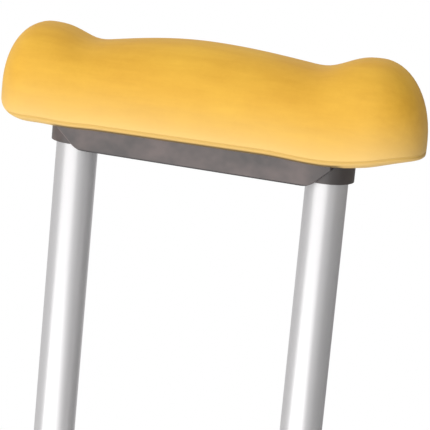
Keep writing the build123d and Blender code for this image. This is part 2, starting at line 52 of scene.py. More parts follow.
Point = tuple[float, float, float]
Sockets = dict[str, object]
WHITE = (1.0, 1.0, 1.0, 1.0)


def scaled(colour: Colour, factor: float) -> Colour:
    """A colour made darker or brighter, with white as its limit."""
    return tuple(min(1.0, c * factor) for c in colour)


class Body(Enum):
    """The bodies of the frame that a piece can ride on."""

    FRAME = "frame"
    LEG = "leg"
    BUTTON = "button"
    GRIP = "grip"
    WING_NUT = "wing_nut"


class Slot(Enum):
    """The record's material slots."""

    PAD_RUBBER = "pad_rubber"
    GRIP_FOAM = "grip_foam"
    TIP_RUBBER = "tip_rubber"
    SADDLE_PLASTIC = "saddle_plastic"
    PLUG_PLASTIC = "plug_plastic"
    SATIN_ALUMINIUM = "satin_aluminium"
    ZINC_STEEL = "zinc_steel"


class Wire:
    """A shader value, whose arithmetic adds Math nodes to its graph.

    Args:
        graph: The graph that the value belongs to.
        socket: The output socket that gives it.
    """

    def __init__(self, graph: "Graph", socket: bpy.types.NodeSocket) -> None:
        self.graph = graph
        self.socket = socket

    def math(self, operation: str, first: object, second: object) -> "Wire":
        """Adds one Math node.

        Args:
            operation: The node's operation.
            first: Its first value or wire.
            second: Its second value or wire.

        Returns:
            The node's result.
        """
        node = self.graph.add("ShaderNodeMath", {"operation": operation}, {0: first, 1: second})
        return Wire(self.graph, node.outputs[0])

    def __add__(self, other: object) -> "Wire":
        """Adds a number or a wire."""
        return self.math("ADD", self, other)

    __radd__ = __add__

    def __mul__(self, other: object) -> "Wire":
        """Multiplies by a number or a wire."""
        return self.math("MULTIPLY", self, other)

    __rmul__ = __mul__

    def __sub__(self, other: object) -> "Wire":
        """Takes a number or a wire away."""
        return self.math("SUBTRACT", self, other)

    def __rsub__(self, other: object) -> "Wire":
        """Takes this value away from a number."""
        return self.math("SUBTRACT", other, self)

    def __truediv__(self, other: object) -> "Wire":
        """Divides by a number or a wire."""
        return self.math("DIVIDE", self, other)

    def __pow__(self, power: object) -> "Wire":
        """Raises to a power."""
        return self.math("POWER", self, power)

    def lesser(self, other: object) -> "Wire":
        """The smaller of this and another value."""
        return self.math("MINIMUM", self, other)

    def greater(self, other: object) -> "Wire":
        """The larger of this and another value."""
        return self.math("MAXIMUM", self, other)

    def between(self, low: float, high: float) -> "Wire":
        """Stretches low to high over 0 to 1, and holds it there.

        Args:
            low: The value that becomes 0.
            high: The value that becomes 1.

        Returns:
            The stretched value.
        """
        inputs = {"Value": self, "From Min": low, "From Max": high, "To Min": 0.0, "To Max": 1.0}
        node = self.graph.add("ShaderNodeMapRange", {"clamp": True}, inputs)
        return Wire(self.graph, node.outputs[0])


class Graph:
    """A node tree that is built by calls.

    Args:
        tree: The node tree, which is emptied.
    """

    def __init__(self, tree: bpy.types.NodeTree) -> None:
        self.tree = tree
        tree.nodes.clear()

    def add(self, kind: str, settings: dict[str, object] | None = None,
            inputs: dict[object, object] | None = None) -> bpy.types.Node:
        """Adds a node, sets it up, and then fills or links its inputs.

        Args:
            kind: The node's type.
            settings: Its own settings; stops are a ramp's places and colours.
            inputs: Its sockets, by name or number, with a number, colour or wire for each.

        Returns:
            The new node.
        """
        node = self.tree.nodes.new(kind)
        for name, value in (settings or {}).items():
            if name == "stops":
                self._set_stops(node.color_ramp, value)
            else:
                setattr(node, name, value)
        for name, value in (inputs or {}).items():
            socket = node.inputs[name]
            if isinstance(value, Wire):
                self.tree.links.new(value.socket, socket)
            else:
                socket.default_value = value
        return node

    @staticmethod
    def _set_stops(ramp: bpy.types.ColorRamp, stops: Sequence[tuple[float, Colour]]) -> None:
        """Gives a ramp its stops.

        Args:
            ramp: The ramp.
            stops: Each stop's place and colour.
        """
        while len(ramp.elements) < len(stops):
            ramp.elements.new(1.0)
        for element, (place, colour) in zip(ramp.elements, stops):
            element.position = place
            element.color = (*colour, 1.0)

    def wire(self, node: bpy.types.Node, output: object = 0) -> Wire:
        """One output of a node as a wire."""
        return Wire(self, node.outputs[output])

    def place(self) -> Wire:
        """The point on the object, in the part's own frame."""
        return self.wire(self.add("ShaderNodeTexCoord"), "Object")

    def axes(self, vector: Wire) -> tuple[Wire, Wire, Wire]:
        """Splits a vector into its three numbers."""
        node = self.add("ShaderNodeSeparateXYZ", None, {0: vector})
        return self.wire(node, 0), self.wire(node, 1), self.wire(node, 2)

    def stretched(self, vector: Wire, scale: Point) -> Wire:
        """The vector with each axis scaled."""
        node = self.add("ShaderNodeMapping", None, {"Vector": vector, "Scale": scale})
        return self.wire(node)

    def noise(self, vector: Wire, scale: float, detail: float = 2.0, roughness: float = 0.5) -> Wire:
        """Smooth noise between 0 and 1.

        Args:
            vector: Where it is read.
            scale: Blots to the metre.
            detail: How many finer layers it has.
            roughness: How strong those layers are.

        Returns:
            The noise value.
        """
        inputs = {"Vector": vector, "Scale": scale, "Detail": detail, "Roughness": roughness}
        return self.wire(self.add("ShaderNodeTexNoise", {"noise_dimensions": "3D"}, inputs))

    def cells(self, vector: Wire, scale: float) -> Wire:
        """Distance to the nearest of scattered points."""
        inputs = {"Vector": vector, "Scale": scale}
        return self.wire(self.add("ShaderNodeTexVoronoi", {"feature": "F1"}, inputs), "Distance")

    def mixed(self, factor: object, first: object, second: object, mode: str = "MIX") -> Wire:
        """Mixes two colours.

        Args:
            factor: How much of the second shows.
            first: The first colour or wire.
            second: The second colour or wire.
            mode: How they mix.

        Returns:
            The mixed colour.
        """
        node = self.add("ShaderNodeMix", {"data_type": "RGBA", "blend_type": mode})
        for index, value in ((0, factor), (6, first), (7, second)):
            if isinstance(value, Wire):
                self.tree.links.new(value.socket, node.inputs[index])
            else:
                node.inputs[index].default_value = value if index == 0 else (*value, 1.0)
        return self.wire(node, 2)

    def bump(self, height: Wire, depth: float, strength: float = 1.0, under: Wire | None = None) -> Wire:
        """A normal bent by a height.

        Args:
            height: The height, from 0 to 1.
            depth: How deep 1 is, in metres.
            strength: How much of the effect shows.
            under: A normal that is bent already.

        Returns:
            The bent normal.
        """
        inputs = {"Height": height, "Distance": depth, "Strength": strength}
        if under is not None:
            inputs["Normal"] = under
        return self.wire(self.add("ShaderNodeBump", None, inputs))

    def show(self, shader: bpy.types.Node, output: str = "ShaderNodeOutputMaterial") -> None:
        """Links a shader to the tree's output."""
        self.add(output, None, {"Surface": self.wire(shader)})


def blank_material(name: str) -> tuple[bpy.types.Material, Graph]:
    """A new material with its empty graph."""
    made = bpy.data.materials.new(name)
    made.use_nodes = True
    return made, Graph(made.node_tree)


@dataclass(frozen=True)
class Finish:
    """What every finish has.

    Args:
        name: The material's name.
        slot: The record's slot that it stands for; not used.
        colour: Its plain colour, linear.
        roughness: Its plain roughness.
        metallic: 1 on bare metal and 0 on the rest.
        specular: The strength of its plain reflection.
    """

    name: str
    slot: Slot
    colour: Colour
    roughness: float
    metallic: float = 0.0
    specular: float = 0.5

    def material(self) -> bpy.types.Material:
        """Makes the material.

        Returns:
            The material, with its nodes linked.
        """
        made, graph = blank_material(self.name)
        made.diffuse_color = (*self.colour, 1.0)
        inputs: Sockets = {
            "Base Color": (*self.colour, 1.0),
            "Roughness": self.roughness,
            "Metallic": self.metallic,
            "Specular IOR Level": self.specular,
        }
        inputs.update(self.surface(graph))
        graph.show(graph.add("ShaderNodeBsdfPrincipled", None, inputs))
        return made

    def surface(self, graph: Graph) -> Sockets:
        """Sockets that change over the surface."""
        return {}


@dataclass(frozen=True)
class SatinAluminium(Finish):
    """Drawn and anodised tube, with faint lines along its length and a few rubbed patches.

    Args:
        line_scale: Drawn lines to the metre.
        line_stretch: Their scale along the tube, as a share of that across it.
        line_depth: Their depth.
        cloud_scale: Pale clouds to the metre.
        patch_scale: Rubbed patches to the metre.
        patch_stretch: Their scale along the tube, as a share of that across it.
    """

    line_scale: float = 1500.0
    line_stretch: float = 0.012
    line_depth: float = 0.01 * MM
    cloud_scale: float = 14.0
    patch_scale: float = 60.0
    patch_stretch: float = 0.35

    def surface(self, graph: Graph) -> Sockets:
        """Lines along the tube, and rubbed patches."""
        place = graph.place()
        drawn = graph.stretched(place, (1.0, 1.0, self.line_stretch))
        lines = graph.noise(drawn, self.line_scale, 3.0, 0.6)
        cloud = graph.noise(place, self.cloud_scale, 3.0, 0.55)
        handled = graph.stretched(place, (1.0, 1.0, self.patch_stretch))
        wear_and_highlight = graph.noise(handled, self.patch_scale, 4.0, 0.6).between(0.60, 0.78)
        tint = graph.mixed(cloud, scaled(self.colour, 0.97), scaled(self.colour, 1.03))
        colour = graph.mixed(wear_and_highlight * 0.30, tint, scaled(self.colour, 0.90))
        rough = self.roughness + (lines - 0.5) * 0.10 + wear_and_highlight * 0.07
        return {"Base Color": colour, "Roughness": rough, "Normal": graph.bump(lines, self.line_depth, 0.6)}


@dataclass(frozen=True)
class ZincSteel(Finish):
    """Bright zinc plate with a fine grain and dull spots.

    Args:
        grain_scale: Grains to the metre.
        grain_depth: Their depth.
        cloud_scale: Warm clouds to the metre.
        spot_scale: Dull spots to the metre.
        warmth: What a warm cloud does to red, green and blue.
    """

    grain_scale: float = 2600.0
    grain_depth: float = 0.01 * MM
    cloud_scale: float = 180.0
    spot_scale: float = 900.0
    warmth: Colour = (1.02, 0.98, 0.90)

    def surface(self, graph: Graph) -> Sockets:
        """A fine grain, a faint warm cloud, and dull spots."""
        place = graph.place()
        grain = graph.noise(place, self.grain_scale, 2.0)
        cloud = graph.noise(place, self.cloud_scale, 3.0)
        spots = graph.noise(place, self.spot_scale, 3.0, 0.6).between(0.60, 0.75)
        warm = tuple(c * share for c, share in zip(self.colour, self.warmth))
        tint = graph.mixed(cloud, self.colour, warm)
        colour = graph.mixed(spots * 0.35, tint, scaled(self.colour, 0.72))
        rough = self.roughness + (cloud - 0.5) * 0.16 + spots * 0.20
        return {"Base Color": colour, "Roughness": rough, "Normal": graph.bump(grain, self.grain_depth, 0.5)}


@dataclass(frozen=True)
class SpongeRubber(Finish):
    """Skinned sponge rubber: smooth and faintly streaked, with shallow dimples.

    Args:
        mottle: How much its colour varies.
        deep_shares: How much of that the deep tone takes from red, green and blue.
        pale_shares: How much of that the pale tone adds to them.
        cloud_scale: Slow clouds to the metre.
        streak_scale: Streaks to the metre.
        streak_stretch: Their scale along the moulding, as a share of that across it.
        speck_scale: Fine specks to the metre.
        dimple_scale: Dimples to the metre.
        dimple_depth: The dimples' depth.
    """

    mottle: float = 0.16
    deep_shares: Colour = (0.7, 1.2, 1.8)
    pale_shares: Colour = (0.5, 0.7, 1.8)
    cloud_scale: float = 22.0
    streak_scale: float = 150.0
    streak_stretch: float = 0.16
    speck_scale: float = 420.0
    dimple_scale: float = 1100.0
    dimple_depth: float = 0.04 * MM

    def skin(self, graph: Graph) -> tuple[Wire, Wire, Wire]:
        """Streaks along the moulding, slow clouds and shallow dimples.

        Args:
            graph: The graph that they go into.

        Returns:
            The colour, the roughness and the skin's height.
        """
        place = graph.place()
        slow = graph.noise(place, self.cloud_scale, 3.0, 0.55)
        drawn = graph.stretched(place, (self.streak_stretch, 1.0, 1.0))
        streaks = graph.noise(drawn, self.streak_scale, 4.0, 0.6)
        fine = graph.noise(place, self.speck_scale, 3.0, 0.6)
        pores = graph.cells(place, self.dimple_scale)
        deep = tuple(c * (1.0 - self.mottle * w) for c, w in zip(self.colour, self.deep_shares))
        pale = tuple(min(1.0, c * (1.0 + self.mottle * w)) for c, w in zip(self.colour, self.pale_shares))
        mottled = (slow * 0.45 + streaks * 0.45 + fine * 0.10).between(0.30, 0.70)
        colour = graph.mixed(mottled, deep, pale)
        rough = self.roughness + (slow - 0.5) * 0.10 + (streaks - 0.5) * 0.10
        return colour, rough, pores * 0.5 + fine * 0.3 + streaks * 0.2

    def surface(self, graph: Graph) -> Sockets:
        """The skin alone."""
        colour, rough, height = self.skin(graph)
        dimpled = graph.bump(height, self.dimple_depth, 0.5)
        return {"Base Color": colour, "Roughness": rough, "Normal": dimpled}


@dataclass(frozen=True)
class RimmedRubber(SpongeRubber):
    """The pad's rubber: a painted sheen towards its lower rim, painted shade under its parting line, and a
    painted contact shadow on the saddle.

    Args:
        pale: The colour of the painted sheen along the rim, which stands in for light from below.
        dust_and_sheen: Where the band of painted sheen is whole and where it ends, in millimetres over the
            rim.
        tuck: Where the shade under the parting line is whole, in millimetres over the rim.
        parting: The line's height and half-width, in millimetres.
        parting_depth: Its depth.
        painted_contact_shadow: Where the painted contact shadow starts, where it is whole and where it ends,
            in millimetres over the rim.
        painted_shadow_span: Where along the pad it runs.
        painted_shadow_fade: How far each way it fades in and out along the pad.
        painted_shadow_colour: Its colour.
    """

    pale: Colour = (0.96, 0.64, 0.22)
    dust_and_sheen: tuple[float, float] = (5.0, 34.0)
    tuck: float = 2.0
    parting: tuple[float, float] = (4.5, 0.8)
    parting_depth: float = 0.3 * MM
    painted_contact_shadow: tuple[float, float, float] = (0.5, 2.0, 3.0)
    painted_shadow_span: tuple[float, float] = (-76.0 * MM, 80.0 * MM)
    painted_shadow_fade: float = 2.0 * MM
    painted_shadow_colour: Colour = (0.13, 0.08, 0.03)

    def surface(self, graph: Graph) -> Sockets:
        """The skin, the painted sheen, the painted shade under the parting line, the parting line and the
        painted contact shadow.
        """
        colour, rough, height = self.skin(graph)
        over = graph.wire(graph.add("ShaderNodeAttribute", {"attribute_name": "rim"}), "Fac")
        middle, half_width = self.parting
        # Painted light: a painted sheen towards the lower rim stands in for light from below, and painted
        # shade darkens where the rim turns under the parting line.
        near = 1.0 - over.between(*self.dust_and_sheen)
        away = over - middle
        line = 1.0 - (away * away / half_width ** 2).lesser(1.0)
        below = 1.0 - over.between(self.tuck, middle)
        with_painted_sheen = graph.mixed(near * near * 0.8, colour, self.pale)
        tucked = graph.mixed(below * 0.45, with_painted_sheen, scaled(self.pale, 0.6))
        lined = graph.mixed(line * 0.45, tucked, scaled(self.colour, 0.65))
        # Painted contact shadow: dark low on the pad where it sits on the saddle.
        along = graph.axes(graph.place())[0]
        left, right = self.painted_shadow_span
        fade = self.painted_shadow_fade
        touching = along.between(left - fade, left + fade) * along.between(right + fade, right - fade)
        start, whole, end = self.painted_contact_shadow
        dark = over.between(start, (start + whole) / 2) * over.between(end, whole)
        with_painted_shadow = graph.mixed(dark * touching * 0.9, lined, self.painted_shadow_colour)
        dimpled = graph.bump(height, self.dimple_depth, 0.5)
        grooved = graph.bump(1.0 - line, self.parting_depth, 1.0, dimpled)
        return {"Base Color": with_painted_shadow, "Roughness": rough, "Normal": grooved}


@dataclass(frozen=True)
class MouldedPlastic(Finish):
    """Satin moulded plastic with flow clouds, a fine spark-eroded grain and a few scuffs.

    Args:
        cloud: How much darker and paler the clouds are.
        flow_scale: Clouds to the metre.
        flow_stretch: Their scale along X, as a share of the rest.
        grain_scale: Grains to the metre.
        grain_depth: Their depth.
        scuff_scale: Scuffs to the metre.
        scuff_stretch: Their scale along X, as a share of the rest.
    """

    cloud: float = 0.28
    flow_scale: float = 90.0
    flow_stretch: float = 0.8
    grain_scale: float = 1900.0
    grain_depth: float = 0.02 * MM
    scuff_scale: float = 210.0
    scuff_stretch: float = 0.25

    def surface(self, graph: Graph) -> Sockets:
        """Clouds where the melt flowed, a fine grain, and scuffs."""
        place = graph.place()
        flowing = graph.stretched(place, (self.flow_stretch, 1.0, 1.0))
        flow = graph.noise(flowing, self.flow_scale, 2.0, 0.55).between(0.32, 0.68)
        grain = graph.noise(place, self.grain_scale, 2.0, 0.6)
        scraped = graph.stretched(place, (self.scuff_stretch, 1.0, 1.0))
        scuffs = graph.noise(scraped, self.scuff_scale, 4.0, 0.65).between(0.60, 0.76)
        dark, pale = scaled(self.colour, 1.0 - self.cloud), scaled(self.colour, 1.0 + self.cloud)
        worn = tuple(min(1.0, c * 1.25 + 0.01) for c in self.colour)
        colour = graph.mixed(scuffs * 0.25, graph.mixed(flow, dark, pale), worn)
        rough = self.roughness + (flow - 0.5) * 0.12 + scuffs * 0.08
        return {"Base Color": colour, "Roughness": rough, "Normal": graph.bump(grain, self.grain_depth, 0.6)}


@dataclass(frozen=True)
class EdgedPlastic(MouldedPlastic):
    """The saddle's plastic: painted shade along its lower edge, a painted highlight on one slanting edge, and
    painted shade on its right collar.

    Args:
        edge: Where the painted shade along the lower edge is whole and where it ends, over the skirt's bottom.
        painted_highlight: Where the painted highlight meets the skirt's bottom, how far it leans out, and its
            half-width.
        painted_shade_span: Where the painted shade on the right collar starts, and where it is whole.
        painted_highlight_tone: The share and the level of the painted highlight's tone, as a part of the plain
            one.
        painted_shade_tone: Those of the painted shade on the right collar.
        painted_edge_shade_tone: Those of the painted shade along the lower edge.
        edge_dulling: How much rougher the lower edge is.
    """

    edge: tuple[float, float] = (0.5 * MM, 1.1 * MM)
    painted_highlight: tuple[float, float, float] = (62.9 * MM, 1.1, 0.45 * MM)
    painted_shade_span: tuple[float, float] = (60.0 * MM, 72.0 * MM)
    painted_highlight_tone: tuple[float, float] = (0.6, 3.0)
    painted_shade_tone: tuple[float, float] = (0.8, 0.25)
    painted_edge_shade_tone: tuple[float, float] = (1.0, 0.15)
    edge_dulling: float = 0.3

    def surface(self, graph: Graph) -> Sockets:
        """The moulding, with painted shade along its lower edge and on its right collar, and a painted
        highlight on one slanting edge.
        """
        sockets = super().surface(graph)
        along, _, up = graph.axes(graph.place())
        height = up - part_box("underarm_saddle")[0].z
        # Painted shade: darker along the skirt's lower edge, which faces down.
        low = 1.0 - height.between(*self.edge)
        # Painted highlight: a bright line along the slanting end of the skirt.
        foot, lean, half_width = self.painted_highlight
        away = along + foot + height * lean
        wear_and_highlight = 1.0 - (away * away / half_width ** 2).lesser(1.0)
        # Painted shade: darker on the right collar, which turns away from the light and sits under the pad.
        painted_shade_mask = along.between(*self.painted_shade_span)
        tones = ((wear_and_highlight, self.painted_highlight_tone), (painted_shade_mask, self.painted_shade_tone), (low, self.painted_edge_shade_tone))
        for where, (share, level) in tones:
            tone = scaled(self.colour, level)
            sockets["Base Color"] = graph.mixed(where * share, sockets["Base Color"], tone)
        sockets["Roughness"] = sockets["Roughness"] + low * self.edge_dulling
        return sockets


@dataclass(frozen=True)
class TyreRubber(Finish):
    """Matt moulded rubber with a dusty bloom low down, where it meets the ground.

    Args:
        bloom_top: Where the bloom has faded out, over the ground.
        dust_scale: Dusty patches to the metre.
        grain_scale: Grains to the metre.
        grain_depth: Their depth.
    """

    bloom_top: float = 12.0 * MM
    dust_scale: float = 120.0
    grain_scale: float = 1300.0
    grain_depth: float = 0.04 * MM

    def surface(self, graph: Graph) -> Sockets:
        """A bloom that fades upwards, a coarse grain, and dusty scuffs."""
        place = graph.place()
        height = graph.axes(place)[2]
        grain = graph.noise(place, self.grain_scale, 3.0, 0.65)
        dust = graph.noise(place, self.dust_scale, 4.0, 0.65)
        low = 1.0 - height.between(0.0, self.bloom_top)
        dust_and_sheen = (low * 0.45 + 0.12) * dust.between(0.35, 0.75)
        dusty = tuple(c * 1.5 + 0.05 for c in self.colour)
        colour = graph.mixed(dust_and_sheen, self.colour, dusty)
        rough = self.roughness + dust_and_sheen * 0.20
        grained = graph.bump(grain, self.grain_depth, 0.7)
        return {"Base Color": colour, "Roughness": rough, "Normal": grained}


AMBER = (0.93, 0.52, 0.046)
PAD_FINISH = RimmedRubber("pad_sponge_rubber", Slot.PAD_RUBBER, AMBER, 0.50, specular=0.36)
GRIP_FINISH = SpongeRubber("grip_sponge_rubber", Slot.GRIP_FOAM, (0.86, 0.46, 0.050), 0.62, specular=0.35,
                           mottle=0.08, dimple_depth=0.08 * MM)
SADDLE_FINISH = EdgedPlastic("saddle_moulding", Slot.SADDLE_PLASTIC, (0.088, 0.064, 0.060), 0.42, specular=1.1,
                             cloud=0.5)
PLUG_FINISH = MouldedPlastic("black_moulding", Slot.PLUG_PLASTIC, (0.045, 0.043, 0.044), 0.46)
TIP_FINISH = TyreRubber("foot_rubber", Slot.TIP_RUBBER, (0.040, 0.038, 0.037), 0.72, specular=0.35)
TUBE_FINISH = SatinAluminium("satin_aluminium", Slot.SATIN_ALUMINIUM, (0.73, 0.72, 0.725), 0.36, 0.8)
STEEL_FINISH = ZincSteel("zinc_plate", Slot.ZINC_STEEL, (0.56, 0.56, 0.57), 0.34, 1.0)


def deselect() -> None:
    """Leaves nothing selected, so that an operator acts only on what comes next."""
    if bpy.context.object is not None and bpy.context.object.mode != "OBJECT":
        bpy.ops.object.mode_set(mode="OBJECT")
    bpy.ops.object.select_all(action="DESELECT")


def activate(piece: bpy.types.Object) -> None:
    """Makes a piece the one selected and active object."""
    deselect()
    piece.select_set(True)
    bpy.context.view_layer.objects.active = piece


def settle(piece: bpy.types.Object, name: str, angle: float = 35.0) -> bpy.types.Object:
    """Names a piece, puts its place into its mesh and smooths it.

    Args:
        piece: The piece.
        name: The name that it takes.
        angle: Edges sharper than this many degrees stay sharp.

    Returns:
        The same piece.
    """
    activate(piece)
    bpy.ops.object.transform_apply(location=True, rotation=True, scale=True)
    bpy.ops.object.shade_smooth_by_angle(angle=math.radians(angle))
    piece.name = piece.data.name = name
    return piece


def apply_modifier(piece: bpy.types.Object, kind: str, **settings: object) -> None:
    """Adds a modifier and applies it at once.

    Args:
        piece: The piece that it shapes.
        kind: The modifier's type.
        **settings: Its settings.
    """
    activate(piece)
    modifier = piece.modifiers.new(kind.title(), kind)
    for name, value in settings.items():
        setattr(modifier, name, value)
    bpy.ops.object.modifier_apply(modifier=modifier.name)


def finish_piece(piece: bpy.types.Object, finish: Finish, material: bpy.types.Material, body: Body,
                 *nodes: str) -> None:
    """Dresses a new piece and hands it to the frame.

    Args:
        piece: The piece.
        finish: Its finish; not used.
        material: That finish's material.
        body: The body that it rides on.
        *nodes: The nodes that it stands for.
    """
    piece.data.materials.clear()
    piece.data.materials.append(material)
    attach(piece, body.value)
    if nodes:
        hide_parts(*nodes)
    faces = len(piece.data.polygons)
    LOG.info("%s: %d faces, on %s, for %s", piece.name, faces, body.value, nodes or "itself")


@dataclass
class Palette:
    """Every material, made once.

    Args:
        made: The materials made so far, by their finish.
    """

    made: dict[Finish, bpy.types.Material] = field(default_factory=dict)

    def of(self, finish: Finish) -> bpy.types.Material:
        """The material of a finish, made on first use."""
        if finish not in self.made:
            self.made[finish] = finish.material()
        return self.made[finish]

    def dress(self, finish: Finish, *nodes: str) -> None:
        """Gives modelled nodes a finish.

        Args:
            finish: The finish.
            *nodes: The nodes that take it.
        """
        for name in nodes:
            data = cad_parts[name].data
            data.materials.clear()
            data.materials.append(self.of(finish))
            LOG.info("%s: dressed with %s", name, finish.name)


def ease(start: float, end: float, share: float) -> float:
    """A value between two others, level at both ends."""
    return start + (end - start) * (1 - math.cos(math.pi * share)) / 2


def spring_off(valley: float, crown: float, share: float) -> float:
    """A value that leaves the valley steeply and comes level at the crown."""
    return valley + (crown - valley) * math.sin(math.pi / 2 * share)


def blend(start: float, end: float, share: float) -> float:
    """A value part of the way from one to another."""
    return start + (end - start) * share


def superellipse(turn: float, power: float) -> tuple[float, float]:
    """A point of a rounded box of half-width and half-height 1.

    Args:
        turn: The angle round it.
        power: 2 gives an ellipse, and more gives squarer corners.

    Returns:
        The point, across and up.
    """
    cosine, sine = math.cos(turn), math.sin(turn)
    across = math.copysign(abs(cosine) ** (2 / power), cosine)
    return across, math.copysign(abs(sine) ** (2 / power), sine)


def evenly(loop: Sequence[Vector], count: int) -> list[Vector]:
    """Spaces points evenly round a closed loop.

    Args:
        loop: The loop's points, in order.
        count: How many points to return.

    Returns:
        The new points, the first one unmoved.
    """
    steps = [(loop[(index + 1) % len(loop)] - point).length for index, point in enumerate(loop)]
    spacing = sum(steps) / count
    found, index, walked = [], 0, 0.0
    for step in range(count):
        target = step * spacing
        while walked + steps[index] < target:
            walked += steps[index]
            index += 1
        share = (target - walked) / steps[index]
        found.append(loop[index].lerp(loop[(index + 1) % len(loop)], share))
    return found


def skinned(name: str, loops: Sequence[Sequence[Vector]], ring: bool = False) -> bpy.types.Object:
    """Makes one closed mesh through a row of loops.

    Args:
        name: The new object's name.
        loops: Loops with the same number of points.
        ring: Joins the last loop to the first, in place of a face on each.

    Returns:
        The new object.
    """
    mesh = bpy.data.meshes.new(name)
    shape = bmesh.new()
    rows = [[shape.verts.new(point) for point in loop] for loop in loops]
    pairs = list(zip(rows, rows[1:]))
    if ring:
        pairs.append((rows[-1], rows[0]))
    else:
        shape.faces.new(rows[0])
        shape.faces.new(rows[-1])
    for first, second in pairs:
        count = len(first)
        for index in range(count):
            after = (index + 1) % count
            shape.faces.new((first[index], first[after], second[after], second[index]))
    bmesh.ops.recalc_face_normals(shape, faces=shape.faces)
    shape.to_mesh(mesh)
    shape.free()
    piece = bpy.data.objects.new(name, mesh)
    bpy.context.scene.collection.objects.link(piece)
    return piece


@dataclass(frozen=True)
class SaddleSlot:
    """The hollow in the pad's underside that takes the saddle.

    Args:
        play: Clearance all round.
        deck_lift: The deck's underside, over the saddle's lower edge.
        deck_thickness: The deck's thickness.
        deck_corner: The rounding of its corners, as a share of its half-depth.
        skirt_end: The skirt's end, out from the tube.
        skirt_half_depth: Half of the skirt's depth.
        collar_wall: The collar's outside, out from the tube's.
        sides: Points round the cutter of each collar.
        corner_steps: Faces round each of the deck's corners.
    """

    play: float = 0.3 * MM
    deck_lift: float = 16.0 * MM
    deck_thickness: float = 3.5 * MM
    deck_corner: float = 0.8
    skirt_end: float = 5.7 * MM
    skirt_half_depth: float = 17.0 * MM
    collar_wall: float = 2.8 * MM
    sides: int = 96
    corner_steps: int = 14

    def cut(self, pad: bpy.types.Object) -> None:
        """Cuts the hollow out of the pad.

        Args:
            pad: The pad's closed skin.
        """
        low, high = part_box("underarm_saddle")
        tube_low, tube_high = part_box("right_upright")
        radius = (tube_high.y - tube_low.y) / 2
        tube_x = tube_high.x - radius
        deck_z = low.z + self.deck_lift
        slab_top = deck_z + self.deck_thickness + self.play
        skirt_x = tube_x + self.skirt_end + self.play
        skirt_y = self.skirt_half_depth + self.play
        slab_low = (low.x - self.play, low.y - self.play, deck_z - self.play)
        slab_high = (high.x + self.play, high.y + self.play, slab_top)
        cutters = [
            self.box(slab_low, slab_high, self.deck_corner * high.y + self.play),
            self.box((-skirt_x, -skirt_y, low.z), (skirt_x, skirt_y, deck_z)),
        ]
        top = high.z + self.play
        outside = radius + self.collar_wall + self.play
        for x in (-tube_x, tube_x):
            deselect()
            bpy.ops.mesh.primitive_cylinder_add(vertices=self.sides, radius=outside, depth=top - low.z,
                                                location=(x, 0.0, (top + low.z) / 2))
            cutters.append(bpy.context.object)
        for cutter in cutters:
            apply_modifier(pad, "BOOLEAN", operation="DIFFERENCE", solver="EXACT", object=cutter)
            bpy.data.objects.remove(cutter, do_unlink=True)

    def box(self, low: Point, high: Point, corner: float = 0.0) -> bpy.types.Object:
        """A box between two corners.

        Args:
            low: Its lowest corner.
            high: Its highest corner.
            corner: The rounding of its upright edges.

        Returns:
            The box.
        """
        deselect()
        middle = [(a + b) / 2 for a, b in zip(low, high)]
        bpy.ops.mesh.primitive_cube_add(size=1.0, location=middle)
        made = bpy.context.object
        made.scale = [b - a for a, b in zip(low, high)]
        bpy.ops.object.transform_apply(location=True, rotation=True, scale=True)
        if corner:
            near = corner / 10
            for edge in made.data.edges:
                start, end = [made.data.vertices[index].co for index in edge.vertices]
                edge.select = abs(start.z - end.z) > near and (start - end).xy.length < near
            bpy.ops.object.mode_set(mode="EDIT")
            bpy.ops.mesh.select_mode(type="EDGE")
            bpy.ops.mesh.bevel(offset=corner, segments=self.corner_steps, affect="EDGES")
            bpy.ops.object.mode_set(mode="OBJECT")
        return made


